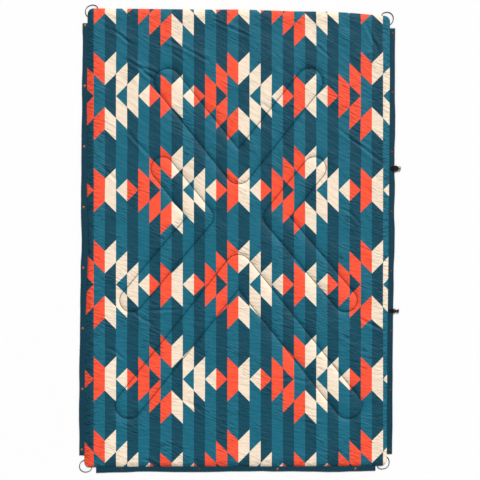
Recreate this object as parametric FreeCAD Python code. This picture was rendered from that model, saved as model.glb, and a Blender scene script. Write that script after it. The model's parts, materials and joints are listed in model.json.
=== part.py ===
import FreeCAD, Part
import math
import os

# A quilted camp blanket, laid flat with its printed side up. Its printed shell, insulation and
# lining are made in two halves that fold along the middle. A placket with press studs runs along
# each side and the bottom, a cord loop is sewn into each corner, and a two-part clip hangs from the
# right placket. X is the width, Y the length towards the top edge, Z up. The plan is laid out from
# the fold line at x = 0, and is moved at the end so that the origin is under the middle of the box.

V = FreeCAD.Vector
UP = V(0, 0, 1)

# Corners of the quilt's seam line, as it lies
TOP_LEFT = V(-659.0, 1014.0, 0)
TOP_AT_FOLD = V(0, 1010.0, 0)
TOP_RIGHT = V(664.0, 980.0, 0)
BOTTOM_RIGHT = V(649.0, -988.0, 0)
BOTTOM_LEFT = V(-674.0, -994.0, 0)
CORNER_RADIUS = 24.0

# Quilt layers
LINING_THICKNESS = 0.5
SHELL_THICKNESS = 0.6
SEAM_HEIGHT = 3.0
LOFT_HEIGHT = 14.0
BORDER = 30.0
SEAM_ALLOWANCE = 4.0
THREAD_WIDTH = 1.0
THREAD_HEIGHT = 0.4

# Middle fold
FOLD_GAP = 0.4
FOLD_PIVOT_HEIGHT = 15.2

# Quilted channels: the centre line of each, and half its width
END_CHANNEL_HALF_WIDTH = 59.0
SIDE_CHANNEL_HALF_WIDTH = 51.0
UPPER_CHANNEL = [(-310, 691), (0, 304), (310, 691)]
LOWER_CHANNEL = [(-480, -723), (0, -123), (480, -723)]
LEFT_CHANNEL = [(-332, 312), (-160, 100), (-468, -264)]
RIGHT_CHANNEL = [(332, 312), (160, 100), (468, -264)]

# Plackets
PLACKET_GAP = 2.0
PLACKET_WIDTH = 23.0
PLACKET_UNDERSIDE = 1.7
PLACKET_THICKNESS = 1.2
PLACKET_TOP = PLACKET_UNDERSIDE + PLACKET_THICKNESS
PLACKET_PIVOT_OUT = 1.6
PLACKET_PIVOT_HEIGHT = 3.2
LEFT_PLACKET_SPAN = (65.0, 1956.0)
RIGHT_PLACKET_SPAN = (52.0, 1915.0)
BOTTOM_PLACKET_SPAN = (52.0, 1274.0)
TAPE_WIDTH = 16.0
TAPE_THICKNESS = 0.4
ROW_INSET = 1.2
ROW_WIDTH = 0.5
ROW_HEIGHT = 0.2

# Press studs: distance of the first from the side's first corner, pitch and number
SIDE_SNAPS = 8
LEFT_FIRST_SNAP = 74.5
LEFT_SNAP_PITCH = 265.4
RIGHT_FIRST_SNAP = 69.5
RIGHT_SNAP_PITCH = 260.6
BOTTOM_SNAP_PITCH = 341.0
SNAP_OUT = (PLACKET_GAP + PLACKET_WIDTH) / 2
POST_RADIUS = 1.4
POST_CLEARANCE = 0.05
CAP_RADIUS = 5.5
CAP_RIM_HEIGHT = 0.6
CAP_BEVELS = [(4.6, 0.5), (2.8, 0.4)]
SOCKET_RADIUS = 4.75
SOCKET_BORE_RADIUS = 2.05
SOCKET_BORE_DEPTH = 1.2
GROOVE_RADIUS = 2.65
GROOVE_LOW = 0.4
GROOVE_HEIGHT = 0.45
SPRING_RADIUS = 2.36
SPRING_WIRE_RADIUS = 0.2
STUD_BASE_RADIUS = 4.6
STUD_BASE_HEIGHT = 0.6
STUD_NECK_RADIUS = 1.75
STUD_NECK_HEIGHT = 0.4
STUD_HEAD_RADIUS = 1.95
STUD_HEAD_HEIGHT = 0.8
STUD_CROWN_HEIGHT = 0.3
STUD_HOLLOW_RADIUS = 1.1
BACK_RADIUS = 5.0
BACK_HEIGHT = 1.0

# Clip on the right placket
RECEIVER_ALONG = 1301.0
HOOK_ALONG = 678.0
RECEIVER_BAR_OUT = 16.0
HOOK_BAR_OUT = 25.0
WEBBING_START = 5.0
WEBBING_HALF_WIDTH = 7.5
WEBBING_THICKNESS = 0.8
WEBBING_SLOPE = math.radians(24)
BAR_RADIUS = 1.2
BAR_CLEARANCE = 0.05
BAR_HEIGHT = PLACKET_TOP + WEBBING_THICKNESS + BAR_RADIUS + BAR_CLEARANCE
CLIP_HALF_THICKNESS = 1.6
SLOT_HALF_WIDTH = 8.2
SLOT_LENGTH = 4.5
ARM_WIDTH = 1.8
BARTACK_INSET = 0.6
BARTACK_WIDTH = 1.2
BARTACK_HEIGHT = 0.4

# Corner loops: the cord, and its route at each corner as (outwards in x, outwards in y) from the corner
CORD_DIAMETER = 3.0
CORD_HEIGHT = 1.6
CORD_ARC_SHARE = 0.45
LOOP_PIVOT_HEIGHT = 3.4
LOOP_BARTACK_LENGTH = 7.0
LOOP_BARTACK_HEIGHT = 2.0
LOOP_ROUTES = {
    "top_left": [
        (-43, 2.4), (-39, 11), (-26, 16), (-12, 14), (1, 8), (9, -3), (11, -16), (8, -28), (2.4, -34)
    ],
    "top_right": [
        (-36, 4.2), (-32, 13), (-18, 18), (-3, 17), (9, 9), (15, -4), (14, -18), (9, -30), (2.4, -36)
    ],
    "bottom_left": [
        (-33, 2.4), (-29, 13), (-16, 21), (0, 22), (14, 16), (22, 3), (21, -12), (13, -24), (2.8, -30)
    ],
    "bottom_right": [
        (-40, 2.4), (-36, 10), (-24, 15), (-10, 13), (2, 8), (10, -3), (12, -17), (9, -30), (2.8, -38)
    ],
}


class Side:
    """A straight edge of the quilt. along runs from its first corner, out points away from the quilt."""

    def __init__(self, start, end):
        self.start = start
        self.along = (end - start).normalize()
        self.out = self.along.cross(UP)

    def at(self, along, out, height=0.0):
        return self.start + self.along * along + self.out * out + UP * height


LEFT = Side(TOP_LEFT, BOTTOM_LEFT)
RIGHT = Side(BOTTOM_RIGHT, TOP_RIGHT)
BOTTOM = Side(BOTTOM_LEFT, BOTTOM_RIGHT)
CORNERS = {
    "top_left": (TOP_LEFT, -1, 1),
    "top_right": (TOP_RIGHT, 1, 1),
    "bottom_left": (BOTTOM_LEFT, -1, -1),
    "bottom_right": (BOTTOM_RIGHT, 1, -1),
}


# Plane geometry


def point_at_x(start, end, x):
    return start + (end - start) * ((x - start.x) / (end.x - start.x))


def crossing(first, second):
    """Where two lines of the plan meet, each given as a point and a direction."""
    point, along = first
    other, other_along = second
    reach = (other - point).cross(other_along).z / along.cross(other_along).z
    return point + along * reach


def inset_polygon(points, insets):
    """A convex polygon with each side moved inwards by its own distance."""
    middle = sum(points, V()) * (1 / len(points))
    lines = []
    for start, end, inset in zip(points, points[1:] + points[:1], insets):
        along = (end - start).normalize()
        inwards = along.cross(UP)
        if inwards.dot(middle - start) < 0:
            inwards = inwards * -1
        lines.append((start + inwards * inset, along))
    return [crossing(lines[i - 1], lines[i]) for i in range(len(lines))]


def rounded_wire(points, radii):
    """A closed outline of straight lines, with an arc at each point that has a radius."""
    corners = []
    for i, (point, radius) in enumerate(zip(points, radii)):
        if not radius:
            corners.append((point, None, point))
            continue
        back = (points[i - 1] - point).normalize()
        ahead = (points[(i + 1) % len(points)] - point).normalize()
        half = back.getAngle(ahead) / 2
        inwards = (back + ahead).normalize()
        middle = point + inwards * (radius / math.sin(half) - radius)
        reach = radius / math.tan(half)
        corners.append((point + back * reach, middle, point + ahead * reach))
    edges = []
    for (first, middle, last), following in zip(corners, corners[1:] + corners[:1]):
        if middle:
            edges.append(Part.Arc(first, middle, last).toShape())
        edges.append(Part.LineSegment(last, following[0]).toShape())
    return Part.Wire(edges)


def raised(points, height):
    return [point + UP * height for point in points]


def prism(points, low, high):
    outline = raised(points, low)
    return Part.Face(Part.makePolygon(outline + outline[:1])).extrude(UP * (high - low))


def rounded_prism(points, radii, low, high):
    return Part.Face(rounded_wire(raised(points, low), radii)).extrude(UP * (high - low))


def strip(side, span, out_span, low, high):
    """A flat bar along a side of the quilt."""
    corners = [(span[0], out_span[0]), (span[1], out_span[0]), (span[1], out_span[1]), (span[0], out_span[1])]
    return prism([side.at(along, out) for along, out in corners], low, high)


def disc(point, radius, low, high):
    return Part.makeCylinder(radius, high - low, point + UP * low)


def group(solids):
    return Part.makeCompound(solids)


# Quilt


def half_outline(sign, inset):
    """Plan of one half of the quilt: its fold side stays, and its other three sides move inwards."""
    bottom_fold = point_at_x(BOTTOM_LEFT, BOTTOM_RIGHT, sign * FOLD_GAP)
    if sign < 0:
        top_fold = point_at_x(TOP_LEFT, TOP_AT_FOLD, -FOLD_GAP)
        corners = [bottom_fold, top_fold, TOP_LEFT, BOTTOM_LEFT]
    else:
        top_fold = point_at_x(TOP_AT_FOLD, TOP_RIGHT, FOLD_GAP)
        corners = [bottom_fold, top_fold, TOP_RIGHT, BOTTOM_RIGHT]
    return inset_polygon(corners, [0, inset, inset, inset])


def half_loft(sign, low, low_inset, high, high_inset):
    """A solid over one half of the quilt whose sides slope inwards as they rise."""
    radii = [0, 0, CORNER_RADIUS, CORNER_RADIUS]
    wires = [
        rounded_wire(raised(half_outline(sign, inset), height), radii)
        for height, inset in ((low, low_inset), (high, high_inset))
    ]
    return Part.makeLoft(wires, True, True)


def quilt_half(sign):
    """Shell, insulation and lining of one half."""
    seam = half_loft(sign, LINING_THICKNESS, 0, SEAM_HEIGHT, 0)
    crown = half_loft(sign, SEAM_HEIGHT, 0, LOFT_HEIGHT, BORDER)
    insulation = half_loft(
        sign, LINING_THICKNESS, SEAM_ALLOWANCE, LOFT_HEIGHT - SHELL_THICKNESS, BORDER + SHELL_THICKNESS
    )
    shell = seam.fuse(crown).cut(insulation)
    lining = half_loft(sign, 0, 0, LINING_THICKNESS, 0)
    return shell, insulation, lining


def quilting_thread(sign):
    """Stitch lines round the quilted channels, on one half."""
    channels = [
        (UPPER_CHANNEL, END_CHANNEL_HALF_WIDTH),
        (LOWER_CHANNEL, END_CHANNEL_HALF_WIDTH),
        (LEFT_CHANNEL if sign < 0 else RIGHT_CHANNEL, SIDE_CHANNEL_HALF_WIDTH),
    ]
    half = prism(half_outline(sign, 0), LOFT_HEIGHT, LOFT_HEIGHT + THREAD_HEIGHT)
    rings = []
    for centre_line, half_width in channels:
        path = Part.makePolygon([V(x, y, LOFT_HEIGHT) for x, y in centre_line])
        outer, inner = (
            Part.Face(path.makeOffset2D(half_width + step)).extrude(UP * THREAD_HEIGHT)
            for step in (THREAD_WIDTH / 2, -THREAD_WIDTH / 2)
        )
        rings += outer.cut(inner).common(half).Solids
    return group(rings)


# Plackets


def placket(side, span, out_span, snaps):
    """A folded strip of fabric round its tape, with the post holes of its press studs."""
    middle = sum(out_span) / 2
    tape_height = PLACKET_UNDERSIDE + (PLACKET_THICKNESS - TAPE_THICKNESS) / 2
    tape_span = (span[0] + ROW_INSET, span[1] - ROW_INSET)
    tape = strip(
        side,
        tape_span,
        (middle - TAPE_WIDTH / 2, middle + TAPE_WIDTH / 2),
        tape_height,
        tape_height + TAPE_THICKNESS,
    )
    fabric = strip(side, span, out_span, PLACKET_UNDERSIDE, PLACKET_TOP).cut(tape)
    holes = [disc(point, POST_RADIUS + POST_CLEARANCE, PLACKET_UNDERSIDE, PLACKET_TOP) for point in snaps]
    return fabric.cut(holes), tape.cut(holes)


def placket_rows(side, span, out_span, clear_of=()):
    """Two rows of topstitching on a placket, broken where something lies on them."""
    rows = []
    for out in (out_span[0] + ROW_INSET, out_span[1] - ROW_INSET):
        row_outs = (out - ROW_WIDTH / 2, out + ROW_WIDTH / 2)
        row = strip(side, span, row_outs, PLACKET_TOP, PLACKET_TOP + ROW_HEIGHT)
        rows += (row.cut(list(clear_of)) if clear_of else row).Solids
    return group(rows)


# Press studs


def snap_points(side, first, pitch, count):
    return [side.at(first + pitch * i, SNAP_OUT) for i in range(count)]


def snap_cap(point):
    """A cap on the placket: a rim, a crown in two bevels, and the post that goes down into the socket."""
    level, radius = PLACKET_TOP + CAP_RIM_HEIGHT, CAP_RADIUS
    rim = disc(point, radius, PLACKET_TOP, level)
    crown = []
    for top_radius, height in CAP_BEVELS:
        crown.append(Part.makeCone(radius, top_radius, height, point + UP * level))
        level, radius = level + height, top_radius
    post = disc(point, POST_RADIUS, SOCKET_BORE_DEPTH, PLACKET_TOP)
    return rim.fuse([*crown, post]).removeSplitter()


def snap_socket(point):
    """A socket under the placket. Its bore opens downwards and has a groove for the ring spring."""
    body = disc(point, SOCKET_RADIUS, 0, PLACKET_UNDERSIDE)
    bore = disc(point, SOCKET_BORE_RADIUS, 0, SOCKET_BORE_DEPTH)
    groove = disc(point, GROOVE_RADIUS, GROOVE_LOW, GROOVE_LOW + GROOVE_HEIGHT)
    post_hole = disc(point, POST_RADIUS + POST_CLEARANCE, SOCKET_BORE_DEPTH, PLACKET_UNDERSIDE)
    return body.cut([bore, groove, post_hole])


def snap_spring(point):
    return Part.makeTorus(SPRING_RADIUS, SPRING_WIRE_RADIUS, point + UP * (GROOVE_LOW + GROOVE_HEIGHT / 2))


def snap_stud(point):
    """A hollow stud on the placket: base ring, neck and head."""
    levels = [PLACKET_TOP]
    for height in (STUD_BASE_HEIGHT, STUD_NECK_HEIGHT, STUD_HEAD_HEIGHT, STUD_CROWN_HEIGHT):
        levels.append(levels[-1] + height)
    base = disc(point, STUD_BASE_RADIUS, levels[0], levels[1])
    neck = disc(point, STUD_NECK_RADIUS, levels[1], levels[2])
    head = disc(point, STUD_HEAD_RADIUS, levels[2], levels[3])
    crown_radius = STUD_HEAD_RADIUS - STUD_CROWN_HEIGHT
    crown = Part.makeCone(STUD_HEAD_RADIUS, crown_radius, STUD_CROWN_HEIGHT, point + UP * levels[3])
    hollow = disc(point, STUD_HOLLOW_RADIUS, levels[1], levels[4])
    post_hole = disc(point, POST_RADIUS + POST_CLEARANCE, levels[0], levels[1])
    return base.fuse([neck, head, crown]).cut([hollow, post_hole])


def snap_post(point):
    """The back of a stud, under the placket, with the post that goes up into it."""
    flange = disc(point, BACK_RADIUS, PLACKET_UNDERSIDE - BACK_HEIGHT, PLACKET_UNDERSIDE)
    post = disc(point, POST_RADIUS, PLACKET_UNDERSIDE, PLACKET_TOP + STUD_BASE_HEIGHT)
    return flange.fuse(post).removeSplitter()


def each(make, points):
    return group([make(point) for point in points])


# Clip


def clip_webbing(along, bar_out):
    """A webbing tab on the right placket, folded round the clip's bar and back down onto itself."""
    first = along - WEBBING_HALF_WIDTH
    inner = BAR_RADIUS + BAR_CLEARANCE
    outer = inner + WEBBING_THICKNESS
    folded_top = PLACKET_TOP + 2 * WEBBING_THICKNESS
    rise, run = math.sin(WEBBING_SLOPE), math.cos(WEBBING_SLOPE)

    def corner(out, height):
        return RIGHT.at(first, out, height)

    def wrap(radius, low):
        """A round end about the bar, and the slope from its top down to a height: points in order."""
        top_out, top = bar_out - radius * rise, BAR_HEIGHT + radius * run
        under, front = corner(bar_out, BAR_HEIGHT - radius), corner(bar_out + radius, BAR_HEIGHT)
        return under, front, corner(top_out, top), corner(top_out - (top - low) * run / rise, low)

    under, front, top, foot = wrap(outer, folded_top)
    start_low, start_high = corner(WEBBING_START, PLACKET_TOP), corner(WEBBING_START, folded_top)
    outline = [
        Part.LineSegment(start_low, under),
        Part.Arc(under, front, top),
        Part.LineSegment(top, foot),
        Part.LineSegment(foot, start_high),
        Part.LineSegment(start_high, start_low),
    ]
    under, front, top, foot = wrap(inner, BAR_HEIGHT - inner)
    eye = [Part.Arc(under, front, top), Part.LineSegment(top, foot), Part.LineSegment(foot, under)]
    width = RIGHT.along * (2 * WEBBING_HALF_WIDTH)
    wires = [Part.Wire([curve.toShape() for curve in curves]) for curves in (outline, eye)]
    solid, hole = (Part.Face(wire).extrude(width) for wire in wires)
    return solid.cut(hole)


def clip_bartack(along):
    out_span = (WEBBING_START + BARTACK_INSET, WEBBING_START + BARTACK_INSET + BARTACK_WIDTH)
    half = WEBBING_HALF_WIDTH - BARTACK_INSET
    low = PLACKET_TOP + 2 * WEBBING_THICKNESS
    return strip(RIGHT, (along - half, along + half), out_span, low, low + BARTACK_HEIGHT)


def clip_plate(along, bar_out, half_plan, radii):
    """A moulded plate, symmetric about its middle, given by points (out from the bar, half width)."""
    forward = [RIGHT.at(along + half, bar_out + out) for out, half in half_plan]
    backward = [RIGHT.at(along - half, bar_out + out) for out, half in reversed(half_plan)]
    low, high = BAR_HEIGHT - CLIP_HALF_THICKNESS, BAR_HEIGHT + CLIP_HALF_THICKNESS
    return rounded_prism(forward + backward, radii + radii[::-1], low, high)


def clip_frame(along, bar_out, plate):
    """The plate with a slot for the webbing, rounded arm ends and the bar that the webbing holds."""
    low, high = BAR_HEIGHT - CLIP_HALF_THICKNESS, BAR_HEIGHT + CLIP_HALF_THICKNESS
    slot = strip(
        RIGHT,
        (along - SLOT_HALF_WIDTH, along + SLOT_HALF_WIDTH),
        (bar_out - CLIP_HALF_THICKNESS, bar_out + SLOT_LENGTH),
        low,
        high,
    )
    arm_ends = [
        Part.makeCylinder(CLIP_HALF_THICKNESS, ARM_WIDTH, RIGHT.at(first, bar_out, BAR_HEIGHT), RIGHT.along)
        for first in (along - SLOT_HALF_WIDTH - ARM_WIDTH, along + SLOT_HALF_WIDTH)
    ]
    bar_start = RIGHT.at(along - SLOT_HALF_WIDTH, bar_out, BAR_HEIGHT)
    bar = Part.makeCylinder(BAR_RADIUS, 2 * SLOT_HALF_WIDTH, bar_start, RIGHT.along)
    return plate.cut(slot).fuse(arm_ends + [bar]).removeSplitter()


RECEIVER_PLAN = [(0, 10.0), (5, 13.0), (15, 13.0), (24, 8.5), (35, 8.5)]
RECEIVER_RADII = [0, 4.0, 4.0, 3.0, 2.0]
WINDOW_START = 25.5
WINDOW_LENGTH = 7.7
WINDOW_INSIDE = 0.9
WINDOW_OUTSIDE = 6.7
HOOK_PLAN = [(0, 10.0), (5.5, 10.0), (12, 2.2), (20, 8.3), (23.5, 7.0)]
HOOK_RADII = [0, 1.5, 3.0, 1.6, 1.6]
HOOK_NOTCH_RADIUS = 3.2


def clip_receiver():
    """The receiving half, with two windows that the hook's prongs go into."""
    plate = clip_plate(RECEIVER_ALONG, RECEIVER_BAR_OUT, RECEIVER_PLAN, RECEIVER_RADII)
    low, high = BAR_HEIGHT - CLIP_HALF_THICKNESS, BAR_HEIGHT + CLIP_HALF_THICKNESS
    start = RECEIVER_BAR_OUT + WINDOW_START
    windows = [
        strip(
            RIGHT,
            tuple(sorted((RECEIVER_ALONG + sign * WINDOW_INSIDE, RECEIVER_ALONG + sign * WINDOW_OUTSIDE))),
            (start, start + WINDOW_LENGTH),
            low,
            high,
        )
        for sign in (-1, 1)
    ]
    return clip_frame(RECEIVER_ALONG, RECEIVER_BAR_OUT, plate.cut(windows))


def clip_hook():
    """The hook half: a narrow neck that spreads into two prongs."""
    plate = clip_plate(HOOK_ALONG, HOOK_BAR_OUT, HOOK_PLAN, HOOK_RADII)
    low, high = BAR_HEIGHT - CLIP_HALF_THICKNESS, BAR_HEIGHT + CLIP_HALF_THICKNESS
    tip = RIGHT.at(HOOK_ALONG, HOOK_BAR_OUT + HOOK_PLAN[-1][0] + HOOK_NOTCH_RADIUS / 2)
    return clip_frame(HOOK_ALONG, HOOK_BAR_OUT, plate.cut(disc(tip, HOOK_NOTCH_RADIUS, low, high)))


# Corner loops


def loop_route(name):
    corner, x_sign, y_sign = CORNERS[name]
    return [corner + V(x_sign * x, y_sign * y, CORD_HEIGHT) for x, y in LOOP_ROUTES[name]]


def cord_tube(name):
    """A round cord along straight runs joined by tangent arcs. Prints its radii, length and volume error."""
    points = loop_route(name)
    edges = []
    radii = []
    start = points[0]
    for back, point, ahead in zip(points, points[1:], points[2:]):
        towards_back = (back - point).normalize()
        towards_ahead = (ahead - point).normalize()
        half_turn = (math.pi - towards_back.getAngle(towards_ahead)) / 2
        reach = CORD_ARC_SHARE * min(back.distanceToPoint(point), ahead.distanceToPoint(point))
        radius = reach / math.tan(half_turn)
        inwards = (towards_back + towards_ahead).normalize()
        middle = point + inwards * (radius / math.cos(half_turn) - radius)
        first, last = point + towards_back * reach, point + towards_ahead * reach
        edges += [Part.LineSegment(start, first).toShape(), Part.Arc(first, middle, last).toShape()]
        radii.append(radius)
        start = last
    edges.append(Part.LineSegment(start, points[-1]).toShape())
    path = Part.Wire(edges)
    section = Part.Wire(Part.makeCircle(CORD_DIAMETER / 2, points[0], points[1] - points[0]))
    tube = path.makePipeShell([section], True, True)
    expected = math.pi * CORD_DIAMETER**2 / 4 * path.Length
    print(f"{name} loop: length {path.Length:.1f}, volume / section x length {tube.Volume / expected:.4f}")
    print("  radii " + " ".join(f"{radius:.1f}" for radius in radii))
    return tube


def loop_bartacks(names):
    """Thread bars on the seam where the cord's two ends are sewn in."""
    bars = []
    low = (SEAM_HEIGHT - LOOP_BARTACK_HEIGHT) / 2
    half = LOOP_BARTACK_LENGTH / 2
    for name in names:
        route = loop_route(name)
        for side, end in ((end_side(name), route[0]), (RIGHT if "right" in name else LEFT, route[-1])):
            along = (end - side.start).dot(side.along)
            span = (along - half, along + half)
            bars.append(strip(side, span, (0, BARTACK_HEIGHT), low, low + LOOP_BARTACK_HEIGHT))
    return group(bars)


def end_side(name):
    """The quilt's top or bottom edge at a corner."""
    if name == "top_left":
        return Side(TOP_AT_FOLD, TOP_LEFT)
    if name == "top_right":
        return Side(TOP_RIGHT, TOP_AT_FOLD)
    return BOTTOM


# Assembly


def build_nodes():
    nodes = {}
    side_span = (PLACKET_GAP, PLACKET_WIDTH)
    bottom_span = (0, PLACKET_WIDTH)
    fold_along = (V(0, 0, 0) - BOTTOM_LEFT).dot(BOTTOM.along)

    for name, sign in (("left", -1), ("right", 1)):
        shell, insulation, lining = quilt_half(sign)
        nodes[f"shell_{name}"] = shell
        nodes[f"insulation_{name}"] = insulation
        nodes[f"lining_{name}"] = lining
        nodes[f"quilting_thread_{name}"] = quilting_thread(sign)

    left_snaps = snap_points(LEFT, LEFT_FIRST_SNAP, LEFT_SNAP_PITCH, SIDE_SNAPS)
    right_snaps = snap_points(RIGHT, RIGHT_FIRST_SNAP, RIGHT_SNAP_PITCH, SIDE_SNAPS)
    bottom_snaps = {
        "left": snap_points(BOTTOM, fold_along - 1.5 * BOTTOM_SNAP_PITCH, BOTTOM_SNAP_PITCH, 2),
        "right": snap_points(BOTTOM, fold_along + 0.5 * BOTTOM_SNAP_PITCH, BOTTOM_SNAP_PITCH, 2),
    }
    bottom_spans = {
        "left": (BOTTOM_PLACKET_SPAN[0], fold_along - FOLD_GAP),
        "right": (fold_along + FOLD_GAP, BOTTOM_PLACKET_SPAN[1]),
    }

    webbings = {
        "receiver": clip_webbing(RECEIVER_ALONG, RECEIVER_BAR_OUT),
        "hook": clip_webbing(HOOK_ALONG, HOOK_BAR_OUT),
    }
    plackets = [
        ("left", LEFT, LEFT_PLACKET_SPAN, side_span, left_snaps, ()),
        ("right", RIGHT, RIGHT_PLACKET_SPAN, side_span, right_snaps, webbings.values()),
        ("bottom_left", BOTTOM, bottom_spans["left"], bottom_span, bottom_snaps["left"], ()),
        ("bottom_right", BOTTOM, bottom_spans["right"], bottom_span, bottom_snaps["right"], ()),
    ]
    for name, side, span, out_span, snaps, on_top in plackets:
        fabric, tape = placket(side, span, out_span, snaps)
        nodes[f"placket_{name}"] = fabric
        nodes[f"placket_tape_{name}"] = tape
        nodes[f"placket_thread_{name}"] = placket_rows(side, span, out_span, on_top)

    for name, snaps in (("left", left_snaps), ("bottom", bottom_snaps["right"])):
        nodes[f"snap_caps_{name}"] = each(snap_cap, snaps)
        nodes[f"snap_sockets_{name}"] = each(snap_socket, snaps)
        nodes[f"snap_springs_{name}"] = each(snap_spring, snaps)
    for name, snaps in (("right", right_snaps), ("bottom", bottom_snaps["left"])):
        nodes[f"snap_studs_{name}"] = each(snap_stud, snaps)
        nodes[f"snap_posts_{name}"] = each(snap_post, snaps)

    for name, webbing in webbings.items():
        nodes[f"clip_webbing_{name}"] = webbing
    nodes["clip_bartacks"] = group([clip_bartack(RECEIVER_ALONG), clip_bartack(HOOK_ALONG)])
    nodes["clip_receiver"] = clip_receiver()
    nodes["clip_hook"] = clip_hook()

    for name in LOOP_ROUTES:
        nodes[f"corner_loop_{name}"] = cord_tube(name)
    nodes["loop_bartacks_left"] = loop_bartacks(["top_left", "bottom_left"])
    nodes["loop_bartacks_right"] = loop_bartacks(["top_right", "bottom_right"])
    return nodes


def origin_shift(nodes):
    """Moves the middle of the underside of everything but the free cord loops to the origin."""
    box = FreeCAD.BoundBox()
    for name, shape in nodes.items():
        if not name.startswith("corner_loop"):
            box.add(shape.optimalBoundingBox())
    return V(-box.Center.x, -box.Center.y, -box.ZMin)


def print_joint(name, point, axis):
    x, y, z = (value / 1000 for value in point)
    print(f"{name}: pos_m [{x:.6f}, {y:.6f}, {z:.6f}] axis [{axis.x:.6f}, {axis.y:.6f}, {axis.z:.1f}]")


def print_joints(shift):
    """Each hinge's point and axis, which lifts the outer part as the angle grows."""
    fold = V(0, 0, FOLD_PIVOT_HEIGHT)
    print_joint("centre_fold", fold + shift, V(0, -1, 0))
    left_pivot = LEFT.at(sum(LEFT_PLACKET_SPAN) / 2, PLACKET_PIVOT_OUT, PLACKET_PIVOT_HEIGHT)
    right_pivot = RIGHT.at(sum(RIGHT_PLACKET_SPAN) / 2, PLACKET_PIVOT_OUT, PLACKET_PIVOT_HEIGHT)
    print_joint("left_placket", left_pivot + shift, LEFT.along * -1)
    print_joint("right_placket", right_pivot + shift, RIGHT.along * -1)
    print_joint("receiver", RIGHT.at(RECEIVER_ALONG, RECEIVER_BAR_OUT, BAR_HEIGHT) + shift, RIGHT.along * -1)
    print_joint("hook", RIGHT.at(HOOK_ALONG, HOOK_BAR_OUT, BAR_HEIGHT) + shift, RIGHT.along * -1)
    for name, (_, x_sign, y_sign) in CORNERS.items():
        route = loop_route(name)
        chord = (route[-1] - route[0]).normalize()
        outwards = V(x_sign, y_sign, 0)
        axis = chord if chord.cross(outwards).z > 0 else chord * -1
        middle = (route[0] + route[-1]) * 0.5
        middle.z = LOOP_PIVOT_HEIGHT
        print_joint(f"loop_{name}", middle + shift, axis)


os.makedirs("parts", exist_ok=True)
all_nodes = build_nodes()
to_origin = origin_shift(all_nodes)
print(f"origin shift {to_origin.x:.3f} {to_origin.y:.3f} {to_origin.z:.3f}")
print_joints(to_origin)
for node_name, node_shape in all_nodes.items():
    placed = node_shape.translated(to_origin)
    if not placed.isValid():
        raise ValueError(f"{node_name} is not a valid shape")
    placed.exportStep(f"parts/{node_name}.step")
print(f"{len(all_nodes)} nodes")
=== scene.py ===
import bpy
import json
import math
import numpy as np
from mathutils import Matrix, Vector
from mathutils.bvhtree import BVHTree


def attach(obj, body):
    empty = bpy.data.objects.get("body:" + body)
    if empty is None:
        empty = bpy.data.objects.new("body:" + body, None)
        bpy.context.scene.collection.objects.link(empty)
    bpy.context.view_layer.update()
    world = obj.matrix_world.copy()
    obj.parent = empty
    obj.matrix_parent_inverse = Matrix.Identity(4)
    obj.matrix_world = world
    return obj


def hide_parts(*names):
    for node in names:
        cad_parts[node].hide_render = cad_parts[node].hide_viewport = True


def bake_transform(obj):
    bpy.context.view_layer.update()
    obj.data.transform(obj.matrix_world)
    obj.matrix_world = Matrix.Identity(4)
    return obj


# A quilted camp blanket laid flat, printed side up. Everything is in metres. Plan positions are
# measured from the middle of the fold line, x across the blanket and y towards its top edge.

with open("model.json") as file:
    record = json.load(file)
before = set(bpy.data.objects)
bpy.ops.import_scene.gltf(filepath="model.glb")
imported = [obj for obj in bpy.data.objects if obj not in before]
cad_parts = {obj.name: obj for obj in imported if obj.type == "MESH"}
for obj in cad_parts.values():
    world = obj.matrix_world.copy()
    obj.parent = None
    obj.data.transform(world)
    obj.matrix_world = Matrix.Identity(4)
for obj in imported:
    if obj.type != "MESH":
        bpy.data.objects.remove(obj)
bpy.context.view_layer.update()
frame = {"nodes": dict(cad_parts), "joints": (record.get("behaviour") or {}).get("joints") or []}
JOINTS = {joint["name"]: joint for joint in frame["joints"]}
FOLD = np.array(JOINTS["centre_fold"]["pos_m"])

# Corners of the seam line, as the blanket lies
TOP_LEFT = (-0.659, 1.014)
TOP_AT_FOLD = (0.0, 1.010)
TOP_RIGHT = (0.664, 0.980)
BOTTOM_RIGHT = (0.649, -0.988)
BOTTOM_LEFT = (-0.674, -0.994)
CORNER_RADIUS = 0.024


# ---- camera ----

LENS = 85.0
SENSOR = 36.0
VIEW_WIDTH = 2.102
VIEW_RIGHT_OF_FOLD = 0.007


def add_object(name, data):
    made = bpy.data.objects.new(name, data)
    bpy.context.scene.collection.objects.link(made)
    return made


def make_camera():
    data = bpy.data.cameras.new("camera")
    data.lens = LENS
    data.sensor_width = SENSOR
    data.clip_end = 50
    camera = add_object("camera", data)
    camera.location = (FOLD[0] + VIEW_RIGHT_OF_FOLD, FOLD[1], VIEW_WIDTH * LENS / SENSOR)
    bpy.context.scene.camera = camera


make_camera()


# ---- small helpers ----


def srgb(red, green, blue):
    """A colour given as 0 to 255 on a screen, as the shader's linear values."""
    linear = [
        c / 255 / 12.92 if c / 255 <= 0.04045 else ((c / 255 + 0.055) / 1.055) ** 2.4
        for c in (red, green, blue)
    ]
    return (*linear, 1.0)


def smoothstep(t):
    t = np.clip(t, 0.0, 1.0)
    return t * t * (3 - 2 * t)


def eased(at, knots):
    """A smooth curve through (place, value) knots, level at each of them."""
    at = np.asarray(at, float)
    value = np.full(at.shape, knots[0][1], float)
    for (start, low), (end, high) in zip(knots, knots[1:]):
        value = np.where(at > start, low + (high - low) * smoothstep((at - start) / (end - start)), value)
    return value


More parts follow.
